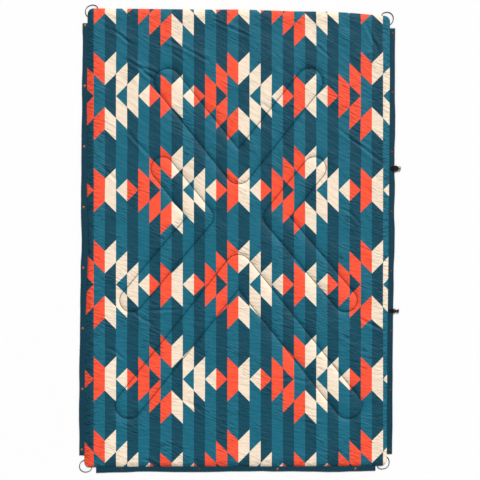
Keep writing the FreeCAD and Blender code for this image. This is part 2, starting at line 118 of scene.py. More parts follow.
def lattice_noise(x, y, seed):
    """Smooth noise of about -1 to 1 over the plane, one cell per unit."""
    table = np.random.default_rng(seed).uniform(-1, 1, (64, 64))
    x, y = np.asarray(x, float), np.asarray(y, float)
    column, row = np.floor(x).astype(int), np.floor(y).astype(int)
    across, up = smoothstep(x - column), smoothstep(y - row)

    def corner(dx, dy):
        return table[(row + dy) % 64, (column + dx) % 64]

    low = corner(0, 0) * (1 - across) + corner(1, 0) * across
    high = corner(0, 1) * (1 - across) + corner(1, 1) * across
    return low * (1 - up) + high * up


def mesh_object(name, vertices, faces, material):
    mesh = bpy.data.meshes.new(name)
    mesh.from_pydata(vertices, [], faces)
    mesh.materials.append(material)
    mesh.polygons.foreach_set("use_smooth", [True] * len(mesh.polygons))
    mesh.update()
    piece = add_object(name, mesh)
    return piece


def add_uv(piece, name, places):
    """A UV map that holds a place in metres for each vertex."""
    layer = piece.data.uv_layers.new(name=name)
    corners = np.zeros(len(piece.data.loops), np.int32)
    piece.data.loops.foreach_get("vertex_index", corners)
    layer.data.foreach_set("uv", np.asarray(places, float)[corners].ravel())


def coordinates(piece):
    points = np.zeros(len(piece.data.vertices) * 3)
    piece.data.vertices.foreach_get("co", points)
    return points.reshape(-1, 3)


def set_coordinates(piece, points):
    piece.data.vertices.foreach_set("co", points.ravel())
    piece.data.update()


def apply_modifiers(piece):
    graph = bpy.context.evaluated_depsgraph_get()
    mesh = bpy.data.meshes.new_from_object(piece.evaluated_get(graph), depsgraph=graph)
    piece.modifiers.clear()
    piece.data = mesh


def subdivide(piece):
    modifier = piece.modifiers.new("subdivision", "SUBSURF")
    modifier.levels = 1
    modifier.render_levels = 1
    apply_modifiers(piece)


class Side:
    """A straight edge of the quilt. along runs from its first corner, out points away from the quilt."""

    def __init__(self, start, end):
        self.start = np.array(start)
        reach = np.array(end) - self.start
        self.length = float(np.hypot(*reach))
        self.along = reach / self.length
        self.out = np.array([self.along[1], -self.along[0]])

    def plan(self, along, out):
        return self.start + np.multiply.outer(along, self.along) + np.multiply.outer(out, self.out)

    def at(self, along, out, height):
        return Vector((*(self.plan(along, out) + FOLD[:2]), height))


LEFT = Side(TOP_LEFT, BOTTOM_LEFT)
RIGHT = Side(BOTTOM_RIGHT, TOP_RIGHT)
BOTTOM = Side(BOTTOM_LEFT, BOTTOM_RIGHT)
TOP = Side(TOP_RIGHT, TOP_LEFT)

# How far each edge wanders out (+) or in (-) of the straight line as the cloth lies: (along, out)
LEFT_DRIFT = [(0.0, 0.0), (0.25, 0.002), (0.7, -0.001), (1.07, -0.008), (1.45, 0.001), (2.0, 0.0)]
RIGHT_DRIFT = [(0.0, 0.0), (0.5, -0.001), (1.0, 0.001), (1.5, 0.0015), (1.95, 0.0)]
TOP_DRIFT = [(0.0, 0.0), (0.22, 0.007), (0.5, 0.001), (0.8, -0.002), (1.3, 0.0)]
BOTTOM_DRIFT = [(0.0, 0.0), (0.4, -0.001), (0.8, 0.001), (1.3, 0.0)]
DRIFT_REACH = 0.16


# ---- node materials ----


class Graph:
    """Builds one node material, a node at a time."""

    def __init__(self, name):
        self.material = bpy.data.materials.new(name)
        self.material.use_nodes = True
        self.tree = self.material.node_tree
        self.shader = self.tree.nodes["Principled BSDF"]

    def node(self, kind, settings=(), **inputs):
        node = self.tree.nodes.new(kind)
        for key, value in dict(settings).items():
            setattr(node, key, value)
        for key, value in inputs.items():
            self.feed(node, key.replace("_", " "), value)
        return node

    def feed(self, node, socket, value):
        target = node.inputs[socket]
        if isinstance(value, bpy.types.NodeSocket):
            self.tree.links.new(value, target)
        else:
            target.default_value = value

    def operate(self, kind, operation, values):
        node = self.node(kind, {"operation": operation})
        for index, value in enumerate(values):
            self.feed(node, index, value)
        return node.outputs

    def math(self, operation, *values):
        return self.operate("ShaderNodeMath", operation, values)[0]

    def times(self, first, second):
        return self.math("MULTIPLY", first, second)

    def plus(self, first, second):
        return self.math("ADD", first, second)

    def fit(self, value, factor, offset):
        """The value times the factor, plus the offset."""
        return self.math("MULTIPLY_ADD", value, factor, offset)

    def vector(self, operation, *values):
        outputs = self.operate("ShaderNodeVectorMath", operation, values)
        return outputs["Value" if operation in ("DOT_PRODUCT", "DISTANCE") else "Vector"]

    def split(self, vector):
        return self.node("ShaderNodeSeparateXYZ", Vector=vector).outputs[:3]

    def uv_map(self, name):
        return self.node("ShaderNodeUVMap", {"uv_map": name}).outputs[0]

    def object_place(self):
        return self.node("ShaderNodeTexCoord").outputs["Object"]

    def ramp(self, value, start, end, low=0.0, high=1.0):
        """Goes smoothly from low to high as the value goes from start to end."""
        return self.node("ShaderNodeMapRange", {"interpolation_type": "SMOOTHSTEP"}, Value=value,
                         From_Min=start, From_Max=end, To_Min=low, To_Max=high).outputs[0]

    def mix(self, factor, first, second, blend="MIX"):
        node = self.node("ShaderNodeMix", {"data_type": "RGBA", "blend_type": blend})
        for socket, value in ((0, factor), (6, first), (7, second)):
            self.feed(node, socket, value)
        return node.outputs[2]

    def noise(self, vector, scale, detail=2.0, roughness=0.5):
        node = self.node("ShaderNodeTexNoise", Vector=vector, Scale=scale, Detail=detail, Roughness=roughness)
        return node.outputs["Fac"]

    def streaks(self, vector, degrees, long, short, detail=2.0, roughness=0.5):
        """Noise whose marks are `long` metres in a direction, and `short` across it."""
        node = self.node("ShaderNodeMapping", {"vector_type": "TEXTURE"}, Vector=vector,
                         Rotation=(0, 0, math.radians(degrees)), Scale=(long, short, short))
        return self.noise(node.outputs[0], 1.0, detail, roughness)

    def bump(self, height, distance, strength=1.0, normal=None):
        node = self.node("ShaderNodeBump", Height=height, Distance=distance, Strength=strength)
        if normal is not None:
            self.feed(node, "Normal", normal)
        return node.outputs[0]

    def finish(self, **inputs):
        for key, value in inputs.items():
            self.feed(self.shader, key.replace("_", " "), value)
        return self.material

    def weave(self, x, y, thread):
        """Over-and-under threads, 0 to 1, one thread every `thread` metres each way."""
        waves = [self.math("SINE", self.times(value, math.pi / thread)) for value in (x, y)]
        return self.fit(self.times(*waves), 0.5, 0.5)

    def ripstop(self, x, y, pitch, width):
        """1 on the thicker threads of a ripstop grid, else 0."""
        places = [self.math("PINGPONG", value, pitch / 2) for value in (x, y)]
        return self.math("MAXIMUM", *[self.math("LESS_THAN", place, width / 2) for place in places])


LIGHT_TEAL = srgb(18, 104, 126)
DARK_TEAL = srgb(6, 72, 91)
ORANGE = srgb(255, 86, 56)
CREAM = srgb(248, 228, 204)
PLAIN_TEAL = srgb(8, 72, 92)
PLACKET_TEAL = srgb(4, 58, 76)
TAPE_TEAL = srgb(6, 50, 66)
THREAD_TEAL = srgb(18, 56, 72)

# The print: stripes one unit wide, and stepped diamonds in rows, each row half a repeat across
PRINT_UNIT = 0.0486
ROW_PITCH = 0.4122
FIRST_ROW = 0.6258
ROW_PITCH_UNITS = 8.5
HALF_REPEAT = 6.0
PRINT_BOW = 0.0045
PRINT_BOW_REACH = 1.03


def print_colour(g, x, y):
    """Two-tone stripes under stepped diamonds. a is the distance from a diamond's middle in units."""
    across = g.math("DIVIDE", x, PRINT_UNIT)
    up = g.math("DIVIDE", g.math("SUBTRACT", y, FIRST_ROW), ROW_PITCH / ROW_PITCH_UNITS)
    row = g.math("ROUND", g.math("DIVIDE", up, ROW_PITCH_UNITS))
    height = g.math("ABSOLUTE", g.fit(row, -ROW_PITCH_UNITS, up))
    middle = g.math("WRAP", g.fit(row, -HALF_REPEAT, across), HALF_REPEAT, -HALF_REPEAT)
    a = g.math("ABSOLUTE", middle)
    step = g.times(g.math("FLOOR", a), 2.0)
    low = g.math("SUBTRACT", g.plus(a, 1.0), step)
    high_inner = g.plus(low, 2.0)
    high_outer = g.math("SUBTRACT", g.math("SUBTRACT", step, 3.0), a)
    outer = g.math("GREATER_THAN", a, 4.0)
    high = g.plus(g.times(high_outer, outer), g.times(high_inner, g.math("SUBTRACT", 1.0, outer)))
    patch = g.times(g.math("GREATER_THAN", height, low), g.math("LESS_THAN", height, high))
    warm = g.math("LESS_THAN", g.times(middle, g.math("SUBTRACT", 4.0, a)), 0.0)
    stripe = g.math("FLOORED_MODULO", g.math("FLOOR", across), 2.0)
    ground = g.mix(stripe, DARK_TEAL, LIGHT_TEAL)
    return g.mix(patch, ground, g.mix(warm, CREAM, ORANGE))


# Quilted channels: the line each follows, and half its width
UPPER_CHANNEL = [(-0.310, 0.691), (0.0, 0.304), (0.310, 0.691)]
LOWER_CHANNEL = [(-0.480, -0.723), (0.0, -0.123), (0.480, -0.723)]
LEFT_CHANNEL = [(-0.332, 0.312), (-0.160, 0.100), (-0.468, -0.264)]
RIGHT_CHANNEL = [(0.332, 0.312), (0.160, 0.100), (0.468, -0.264)]
END_HALF_WIDTH = 0.059
SIDE_HALF_WIDTH = 0.051
CHANNELS = [
    (UPPER_CHANNEL, END_HALF_WIDTH),
    (LOWER_CHANNEL, END_HALF_WIDTH),
    (LEFT_CHANNEL, SIDE_HALF_WIDTH),
    (RIGHT_CHANNEL, SIDE_HALF_WIDTH),
]
FAR_AWAY = 9.0


def stitch_gap(g, place):
    """Distance from the nearest stitch line. The channels are the same on both sides of the fold."""
    x, y, _ = g.split(place)
    mirrored = g.node("ShaderNodeCombineXYZ", X=g.math("ABSOLUTE", x), Y=y).outputs[0]
    gap = FAR_AWAY
    for points, half_width in CHANNELS:
        line = FAR_AWAY
        for start, end in zip(points, points[1:]):
            if start[0] < 0 or end[0] < 0:
                continue
            reach = (end[0] - start[0], end[1] - start[1], 0.0)
            square = reach[0] ** 2 + reach[1] ** 2
            away = g.vector("SUBTRACT", mirrored, (*start, 0.0))
            share = g.math("DIVIDE", g.vector("DOT_PRODUCT", away, reach), square)
            share = g.math("MINIMUM", g.math("MAXIMUM", share, 0.0), 1.0)
            closest = g.vector("MULTIPLY", share, reach)
            line = g.math("MINIMUM", g.vector("DISTANCE", away, closest), line)
        if line != FAR_AWAY:
            gap = g.math("MINIMUM", g.math("ABSOLUTE", g.math("SUBTRACT", line, half_width)), gap)
    return gap


RIPSTOP_PITCH = 0.0052
RIPSTOP_WIDTH = 0.0005
CLOTH_THREAD = 0.00035
STITCH_LINE_REACH = 0.0034


def cloth_material(name, colour, crinkle, quilted=False):
    """Light ripstop cloth. colour is a plain colour, or a function of the place on the flat cloth. Quilted
    cloth also gets painted shade in its wrinkles and along its stitch lines.
    """
    g = Graph(name)
    flat = g.uv_map("cloth")
    x, y, _ = g.split(flat)
    base = colour(g, x, y) if callable(colour) else colour
    broad = g.noise(flat, 5.0, 3.0)
    tone = g.fit(broad, 0.14, 0.93)
    for long, short, detail, depth in ((0.060, 0.0045, 3.0, 0.18), (0.006, 0.0011, 2.0, 0.16)):
        tone = g.times(tone, g.fit(g.streaks(flat, 90, long, short, detail), depth, 1 - depth / 2))
    ripstop = g.ripstop(x, y, RIPSTOP_PITCH, RIPSTOP_WIDTH)
    tone = g.times(tone, g.fit(ripstop, -0.08, 1.0))
    folds = g.node("ShaderNodeMix", Factor=g.ramp(y, -0.25, 0.35))
    g.feed(folds, 2, g.streaks(flat, -8, 0.055, 0.013, 3.0, 0.55))
    g.feed(folds, 3, g.streaks(flat, -33, 0.085, 0.019, 3.0, 0.55))
    normal = g.bump(folds.outputs[0], 0.0038 * crinkle)
    normal = g.bump(g.streaks(flat, 20, 0.018, 0.009), 0.0011 * crinkle, normal=normal)
    if quilted:
        gathers = g.streaks(flat, 12, 0.042, 0.0085, 2.0, 0.45)
        pinches = g.streaks(flat, -24, 0.042, 0.0080, 2.0, 0.45)
        at_side = g.ramp(g.math("ABSOLUTE", x), 0.56, 0.65)
        at_end = g.ramp(g.math("ABSOLUTE", y), 0.90, 0.99, 0.0, 0.7)
        near_edge = g.math("MAXIMUM", at_side, at_end)
        patches = g.math("MAXIMUM", g.ramp(g.noise(flat, 7.0, 2.0), 0.46, 0.62, 0.08), near_edge)
        # Painted shade: the cloth is darkened in the pinched and gathered wrinkles, less on the light parts
        # of the print.
        painted_wrinkle_shade = g.times(g.ramp(pinches, 0.45, 0.33), patches)
        painted_wrinkle_shade = g.math("MAXIMUM", painted_wrinkle_shade, g.times(g.ramp(gathers, 0.46, 0.34), near_edge))
        light = g.node("ShaderNodeRGBToBW", Color=base).outputs[0]
        painted_wrinkle_shade = g.times(painted_wrinkle_shade, g.ramp(light, 0.14, 0.45, 1.0, 0.4))
        tone = g.times(tone, g.fit(painted_wrinkle_shade, -0.45, 1.02))
        normal = g.bump(g.times(pinches, patches), 0.0044, normal=normal)
        normal = g.bump(g.times(gathers, near_edge), 0.0030, normal=normal)
        gap = stitch_gap(g, g.uv_map("plan"))
        # Painted shade: the cloth is darkened down to 0.4 along the stitch lines, where the groove sinks.
        tone = g.times(tone, g.ramp(gap, 0.0006, 0.0032, 0.40))
        groove = g.math("POWER", math.e, g.math("DIVIDE", gap, -STITCH_LINE_REACH))
        normal = g.bump(groove, -0.0020, normal=normal)
    shade = g.node("ShaderNodeCombineColor", Red=tone, Green=tone, Blue=tone)
    toned = g.mix(1.0, base, shade.outputs[0], "MULTIPLY")
    threads = g.plus(g.weave(x, y, CLOTH_THREAD), g.times(ripstop, 1.5))
    normal = g.bump(threads, 0.00006, normal=normal)
    return g.finish(Base_Color=toned, Roughness=g.fit(broad, 0.14, 0.50), Normal=normal,
                    Sheen_Weight=0.03, Sheen_Roughness=0.4, Specular_IOR_Level=0.22)


def scaled(colour, factor):
    return (*[factor * c for c in colour[:3]], 1)


def thread_material(name, colour):
    """Twisted thread, a little worn on its fibres."""
    g = Graph(name)
    place = g.object_place()
    x, y, z = g.split(place)
    twist = g.math("SINE", g.times(g.plus(g.plus(x, y), z), 9000.0))
    worn = (0.9 * colour[0], 0.8 * colour[1], 0.8 * colour[2], 1)
    tone = g.mix(g.times(g.noise(place, 2500.0, 2.0), 0.5), colour, worn)
    normal = g.bump(g.fit(twist, 0.5, 0.5), 0.0001)
    return g.finish(Base_Color=tone, Roughness=0.55, Normal=normal, Sheen_Weight=0.2)


def webbing_material(name, colour):
    """Narrow woven webbing with ribs along it."""
    g = Graph(name)
    place = g.object_place()
    x, y, _ = g.split(place)
    ribs = g.math("SINE", g.times(y, 2 * math.pi / 0.0016))
    picks = g.math("SINE", g.times(x, 2 * math.pi / 0.0009))
    cloth = g.fit(g.plus(ribs, g.times(picks, 0.6)), 0.3, 0.5)
    tone = g.mix(g.times(g.noise(place, 900.0, 3.0), 0.5), colour, scaled(colour, 1.6))
    normal = g.bump(cloth, 0.00025)
    return g.finish(Base_Color=tone, Roughness=0.75, Normal=normal, Specular_IOR_Level=0.12)


def plastic_material(name, colour):
    """Moulded acetal: a fine spark texture, with rubbed patches that shine a little more."""
    g = Graph(name)
    place = g.object_place()
    rubbed = g.noise(place, 160.0, 2.0)
    tone = g.mix(rubbed, colour, scaled(colour, 1.4))
    normal = g.bump(g.noise(place, 2200.0, 3.0), 0.00006)
    return g.finish(Base_Color=tone, Roughness=g.fit(rubbed, 0.30, 0.30), Normal=normal,
                    Specular_IOR_Level=0.22)


def metal_material(name, colour, dull, roughness):
    """Plated brass: worn brighter in places, with fine polishing marks."""
    g = Graph(name)
    place = g.object_place()
    marks = g.streaks(place, 35, 0.002, 0.0002)
    tone = g.mix(g.noise(place, 450.0, 4.0), colour, dull)
    return g.finish(Base_Color=tone, Metallic=1.0, Roughness=g.fit(marks, 0.2, roughness),
                    Normal=g.bump(marks, 0.00004))


def cord_material(name, colour):
    """Braided sheath: crossing strands that run round the cord, from the curve's own coordinates."""
    g = Graph(name)
    x, y, _ = g.split(g.uv_map(""))
    along, around = g.times(x, 2 * math.pi * 40), g.times(y, 2 * math.pi * 6)
    strands = [g.math("SINE", g.math(way, along, around)) for way in ("ADD", "SUBTRACT")]
    braid = g.fit(g.math("MAXIMUM", *strands), 0.5, 0.5)
    tone = g.mix(braid, colour, scaled(colour, 2.0))
    return g.finish(Base_Color=tone, Roughness=0.65, Normal=g.bump(braid, 0.0004),
                    Specular_IOR_Level=0.25)


def batting_material(name):
    """Loose white fibres."""
    g = Graph(name)
    fibres = g.streaks(g.object_place(), 25, 0.011, 0.0025, 5.0)
    tone = g.mix(fibres, srgb(225, 226, 222), srgb(250, 250, 248))
    return g.finish(Base_Color=tone, Roughness=0.95, Normal=g.bump(fibres, 0.001), Sheen_Weight=0.5)


SHELL_CLOTH = cloth_material("printed ripstop", print_colour, 1.0, quilted=True)
LINING_CLOTH = cloth_material("plain lining", PLAIN_TEAL, 1.0, quilted=True)
PLACKET_CLOTH = cloth_material("placket cloth", PLACKET_TEAL, 0.25)
TAPE_CLOTH = cloth_material("stay tape", TAPE_TEAL, 0.1)
QUILT_THREAD = thread_material("quilting thread", THREAD_TEAL)
BARTACK_THREAD = thread_material("bartack thread", srgb(20, 22, 24))
WEBBING = webbing_material("black webbing", srgb(17, 18, 20))
CLIP_PLASTIC = plastic_material("black acetal", srgb(15, 15, 17))
COPPER = metal_material("copper plate", srgb(200, 132, 104), srgb(160, 90, 66), 0.38)
# Painted shade: a darker copy of the copper plate for the studs, standing in for the shade in their recesses.
SHADED_COPPER = metal_material("copper plate painted darker as shade", srgb(150, 84, 62), srgb(98, 52, 40), 0.38)
SPRING_STEEL = metal_material("spring wire", srgb(196, 198, 200), srgb(150, 152, 156), 0.2)
CORD = cord_material("braided cord", srgb(14, 14, 16))
BATTING = batting_material("polyester batting")


# ---- corner cords ----

CORD_DIAMETER = 0.003
CORD_HEIGHT = 0.0016
CORD_SEWN_IN = 0.0052
CORD_SEWN_HEIGHT = 0.0034
CORNERS = {
    "top_left": (TOP_LEFT, -1, 1),
    "top_right": (TOP_RIGHT, 1, 1),
    "bottom_left": (BOTTOM_LEFT, -1, -1),
    "bottom_right": (BOTTOM_RIGHT, 1, -1),
}
# Each cord's route as (outwards in x, outwards in y) from its corner, and its length
LOOP_ROUTES = {
    "top_left": [(-0.043, 0.0024), (-0.039, 0.011), (-0.026, 0.016), (-0.012, 0.014), (0.001, 0.008),
                 (0.009, -0.003), (0.011, -0.016), (0.008, -0.028), (0.0024, -0.034)],
    "top_right": [(-0.036, 0.0042), (-0.032, 0.013), (-0.018, 0.018), (-0.003, 0.017), (0.009, 0.009),
                  (0.015, -0.004), (0.014, -0.018), (0.009, -0.030), (0.0024, -0.036)],
    "bottom_left": [(-0.033, 0.0024), (-0.029, 0.013), (-0.016, 0.021), (0.0, 0.022), (0.014, 0.016),
                    (0.022, 0.003), (0.021, -0.012), (0.013, -0.024), (0.0028, -0.030)],
    "bottom_right": [(-0.040, 0.0024), (-0.036, 0.010), (-0.024, 0.015), (-0.010, 0.013), (0.002, 0.008),
                     (0.010, -0.003), (0.012, -0.017), (0.009, -0.030), (0.0028, -0.038)],
}


def make_corner_cord(name):
    (corner_x, corner_y), sign_x, sign_y = CORNERS[name]
    curve = bpy.data.curves.new(f"cord_{name}", "CURVE")
    curve.dimensions = "3D"
    curve.bevel_depth = CORD_DIAMETER / 2
    curve.bevel_resolution = 4
    curve.resolution_u = 10
    curve.use_fill_caps = True
    route = [(x, y, CORD_HEIGHT) for x, y in LOOP_ROUTES[name]]
    route.insert(0, (route[0][0], route[0][1] - CORD_SEWN_IN, CORD_SEWN_HEIGHT))
    route.append((route[-1][0] - CORD_SEWN_IN, route[-1][1], CORD_SEWN_HEIGHT))
    spline = curve.splines.new("NURBS")
    spline.points.add(len(route) - 1)
    for point, (out_x, out_y, height) in zip(spline.points, route):
        point.co = (FOLD[0] + corner_x + sign_x * out_x, FOLD[1] + corner_y + sign_y * out_y, height, 1.0)
    spline.order_u = 3
    spline.use_endpoint_u = True
    curve.materials.append(CORD)
    piece = add_object(f"cord_{name}", curve)
    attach(piece, f"loop_{name}")
    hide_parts(f"corner_loop_{name}")


for corner_name in CORNERS:
    make_corner_cord(corner_name)


# ---- quilt: plan, stitch lines and heights ----

GRID = (176, 264)
LINING_GRID = (132, 198)
BATTING_INSET = 4
BATTING_GAP = 0.0026
BATTING_CLEARANCE = 0.0003
BATTING_FOLD_CLEARANCE = 0.0016
SEAM_HEIGHT = 0.0030
LOFT = 0.0138
BORDER = 0.036
STITCH_HEIGHT = 0.0062
STITCH_REACH = 0.013
FOLD_REACH = 0.022


def grid_plan(columns, rows):
    """Plan of a grid over the quilt, its corners rounded, its edges straight between the corners as they lie,
    the top one bent at the fold.
    """
    s, t = np.meshgrid(np.linspace(0, 1, columns + 1), np.linspace(0, 1, rows + 1))
    width = TOP_RIGHT[0] - TOP_LEFT[0]
    height = TOP_LEFT[1] - BOTTOM_LEFT[1]
    reach_s, reach_t = CORNER_RADIUS / width, CORNER_RADIUS / height
    a = np.clip(1 - np.minimum(s, 1 - s) / reach_s, 0, 1)
    b = np.clip(1 - np.minimum(t, 1 - t) / reach_t, 0, 1)
    inward_s = reach_s * (a - a * np.sqrt(1 - b * b / 2))
    inward_t = reach_t * (b - b * np.sqrt(1 - a * a / 2))
    s = s + np.where(s < 0.5, inward_s, -inward_s)
    t = t + np.where(t < 0.5, inward_t, -inward_t)
    fold_share = -TOP_LEFT[0] / width
    top_x = TOP_LEFT[0] + s * width
    top_y = np.interp(s, [0, fold_share, 1], [TOP_LEFT[1], TOP_AT_FOLD[1], TOP_RIGHT[1]])
    bottom_x = BOTTOM_LEFT[0] + s * (BOTTOM_RIGHT[0] - BOTTOM_LEFT[0])
    bottom_y = BOTTOM_LEFT[1] + s * (BOTTOM_RIGHT[1] - BOTTOM_LEFT[1])
    return np.stack([bottom_x + t * (top_x - bottom_x), bottom_y + t * (top_y - bottom_y)], -1)


def inside(side, plan):
    """Along and how far inside the straight edge each point is."""
    away = plan - side.start
    return away @ side.along, -(away @ side.out)


def top_line(x):
    return np.interp(x, [TOP_LEFT[0], 0, TOP_RIGHT[0]], [TOP_LEFT[1], TOP_AT_FOLD[1], TOP_RIGHT[1]])


def edge_gaps(plan):
    """Distance inside the nearer side, and inside the nearer end."""
    across = np.minimum(inside(LEFT, plan)[1], inside(RIGHT, plan)[1])
    return across, np.minimum(inside(BOTTOM, plan)[1], top_line(plan[..., 0]) - plan[..., 1])


def edge_distance(plan):
    """Distance inside the seam line, rounded at the corners."""
    across, up = edge_gaps(plan)
    corner = CORNER_RADIUS - np.hypot(CORNER_RADIUS - across, CORNER_RADIUS - up)
    both = (across < CORNER_RADIUS) & (up < CORNER_RADIUS)
    return np.where(both, corner, np.minimum(across, up))


def wander(plan):
    """The plan with its edges moved as the cloth lies, fading out inside."""
    moved = plan.copy()
    for side, knots in ((LEFT, LEFT_DRIFT), (RIGHT, RIGHT_DRIFT), (TOP, TOP_DRIFT), (BOTTOM, BOTTOM_DRIFT)):
        along, depth = inside(side, plan)
        fade = np.clip(1 - depth / DRIFT_REACH, 0, 1) ** 2
        moved += (eased(along, knots) * fade)[..., None] * side.out
    return moved


def nearest_on_line(plan, points):
    """Closest point of a polyline, its distance, and the length along the line."""
    best = np.full(plan.shape[:-1], FAR_AWAY)
    closest = np.zeros(plan.shape)
    along = np.zeros(plan.shape[:-1])
    passed = 0.0
    for start, end in zip(points, points[1:]):
        leg = Side(start, end)
        t = np.clip(inside(leg, plan)[0], 0, leg.length)
        point = leg.plan(t, 0.0)
        distance = np.hypot(*np.moveaxis(plan - point, -1, 0))
        nearer = distance < best
        best = np.where(nearer, distance, best)
        closest = np.where(nearer[..., None], point, closest)
        along = np.where(nearer, passed + t, along)
        passed += leg.length
    return closest, best, along


def stitch_distance(plan):
    """Distance to the nearest stitch line, the point on it, and a length that runs along it."""
    best = np.full(plan.shape[:-1], FAR_AWAY)
    target = plan.copy()
    run = np.zeros(plan.shape[:-1])
    for index, (points, half_width) in enumerate(CHANNELS):
        closest, distance, along = nearest_on_line(plan, points)
        away = plan - closest
        gap = np.abs(distance - half_width)
        nearer = gap < best
        unit = away / np.maximum(distance, 1e-9)[..., None]
        turn = np.arctan2(away[..., 1], away[..., 0])
        best = np.where(nearer, gap, best)
        target = np.where(nearer[..., None], closest + unit * half_width, target)
        run = np.where(nearer, along + turn * half_width + index, run)
    return best, target, run


def shell_height(plan):
    """Height of the printed shell before it is simulated: full between stitches, low at seams."""
    edge = np.clip(edge_distance(plan) / BORDER, 0, 1)
    rise = np.sqrt(1 - (1 - edge) ** 2)
    height = SEAM_HEIGHT + (LOFT - SEAM_HEIGHT) * rise
    pull = np.exp(-stitch_distance(plan)[0] / STITCH_REACH)
    return height - np.maximum(height - STITCH_HEIGHT, 0) * pull


def grid_index(columns, rows):
    return np.arange((columns + 1) * (rows + 1)).reshape(rows + 1, columns + 1)


def grid_faces(columns, rows):
    index = grid_index(columns, rows)
    return np.stack([index[:-1, :-1], index[:-1, 1:], index[1:, 1:], index[1:, :-1]], -1).reshape(-1, 4)


def grid_rim(columns, rows):
    """The grid's outer vertices, anticlockwise."""
    index = grid_index(columns, rows)
    return np.concatenate([index[0, :-1], index[:-1, -1], index[-1, :0:-1], index[:0:-1, 0]])


def wall_faces(upper, lower):
    """Faces between two closed rows of vertices."""
    return np.stack([np.roll(lower, 1), lower, upper, np.roll(upper, 1)], -1).tolist()


def rim_rings(points, rim, rings):
    """Rings that carry the cloth on past its rim: each is (inwards, height). Returns points and faces."""
    centre = points[:, :2].mean(0)
    ahead = np.roll(points[rim], -1, 0)[:, :2] - np.roll(points[rim], 1, 0)[:, :2]
    inward = np.stack([-ahead[:, 1], ahead[:, 0]], -1)
    inward /= np.hypot(*inward.T)[:, None]
    inward *= np.sign(((centre - points[rim][:, :2]) * inward).sum(1))[:, None]
    previous, faces, added = rim, [], []
    count = len(points)
    for depth, height in rings:
        plan = points[rim][:, :2] + inward * depth
        added.append(np.column_stack([plan, np.full(len(rim), height)]))
        ring = np.arange(count, count + len(rim))
        count += len(rim)
        faces += wall_faces(previous, ring)
        previous = ring
    return np.concatenate([points, *added]), faces


# Long creases in the cloth as it lies: start, end, depth
CREASES = [
    ((-0.510, 0.797), (-0.343, 0.688), 0.0036),
    ((-0.453, 0.766), (-0.295, 0.705), 0.0030),
    ((-0.562, 0.928), (-0.453, 0.850), 0.0028),
    ((-0.365, 0.902), (-0.080, 0.766), 0.0026),
    ((-0.300, 0.823), (-0.225, 0.775), 0.0022),
    ((-0.138, 0.972), (0.081, 0.876), 0.0024),
    ((0.336, 0.863), (0.414, 0.780), 0.0022),
    ((0.555, 0.964), (0.620, 0.802), 0.0022),
    ((0.401, 0.504), (0.677, 0.315), 0.0030),
    ((-0.497, 0.490), (-0.374, 0.359), 0.0024),
    ((0.511, -0.328), (0.655, -0.407), 0.0030),
    ((-0.475, -0.307), (-0.357, -0.385), 0.0026),
    ((-0.422, -0.311), (-0.243, -0.298), 0.0022),
    ((-0.593, -0.460), (-0.475, -0.526), 0.0024),
    ((0.160, -0.600), (0.335, -0.622), 0.0020),
    ((-0.431, -0.946), (-0.322, -1.007), 0.0030),
    ((-0.250, -0.700), (-0.130, -0.760), 0.0018),
    ((0.430, 0.150), (0.560, 0.060), 0.0020),
    ((-0.610, 0.330), (-0.520, 0.250), 0.0020),
    ((0.060, 0.620), (0.190, 0.540), 0.0016),
]
CREASE_WIDTH = 0.0055
CREASE_TAKES = 1.6
CREASE_PULL_REACH = 0.07
CREASE_SLACK_REACH = 0.03


def beside_creases(plan):
    """Each crease's number, line and depth, with the share along it and the distance beside it."""
    for index, (start, end, depth) in enumerate(CREASES):
        line = Side(start, end)
        along, beside = inside(line, plan)
        yield index, line, depth, along / line.length, beside


def crease_height(plan):
    """Narrow grooves with a soft ridge on each side, fading at their ends and bending a little."""
    height = np.zeros(plan.shape[:-1])
    for index, line, depth, t, beside in beside_creases(plan):
        beside = beside - 0.06 * line.length * lattice_noise(t * 2.5, np.full(t.shape, index + 0.5), 41)
        taper = smoothstep(t / 0.3) * smoothstep((1 - t) / 0.3)
        groove = -np.exp(-((beside / CREASE_WIDTH) ** 2))
        ridges = np.exp(-(((np.abs(beside) - 2.1 * CREASE_WIDTH) / (1.4 * CREASE_WIDTH)) ** 2))
        height += depth * taper * (groove + 0.55 * ridges)
    return height


def crease_shift(plan):
    """How far the print is moved sideways beside each long crease, which takes up some of the cloth."""
    shift = np.zeros(plan.shape)
    for _, line, depth, t, beside in beside_creases(plan):
        taper = smoothstep(t / 0.4) * smoothstep((1 - t) / 0.4)
        pull = np.tanh(beside / CREASE_WIDTH) * np.exp(-((beside / CREASE_PULL_REACH) ** 2))
        shift -= (CREASE_TAKES * depth * taper * pull)[..., None] * line.out
    return shift


def crease_nearness(plan):
    """1 on a long crease, 0 away from them."""
    near = np.zeros(plan.shape[:-1])
    for start, end, _ in CREASES:
        distance = nearest_on_line(plan, [start, end])[1]
        near = np.maximum(near, np.exp(-((distance / CREASE_SLACK_REACH) ** 2)))
    return near


def pucker_height(plan):
    """Short gathers that stand across the stitch lines and the seam."""
    gap, _, run = stitch_distance(plan)
    at_stitch = lattice_noise(run / 0.011, gap / 0.05, 51) * np.exp(-gap / 0.013) * 0.0011
    edge = np.maximum(edge_distance(plan), 0)
    lower = 0.6 + 0.6 * smoothstep((0.2 - plan[..., 1]) / 0.9)
    across, up = edge_gaps(plan)
    gather = np.where(across < up, plan[..., 1], plan[..., 0])
    at_seam = lattice_noise(gather / 0.012, edge / 0.06, 52) * np.exp(-edge / 0.022) * 0.0017 * lower
    at_seam = at_seam * smoothstep(edge / 0.006)
    return at_stitch + at_seam


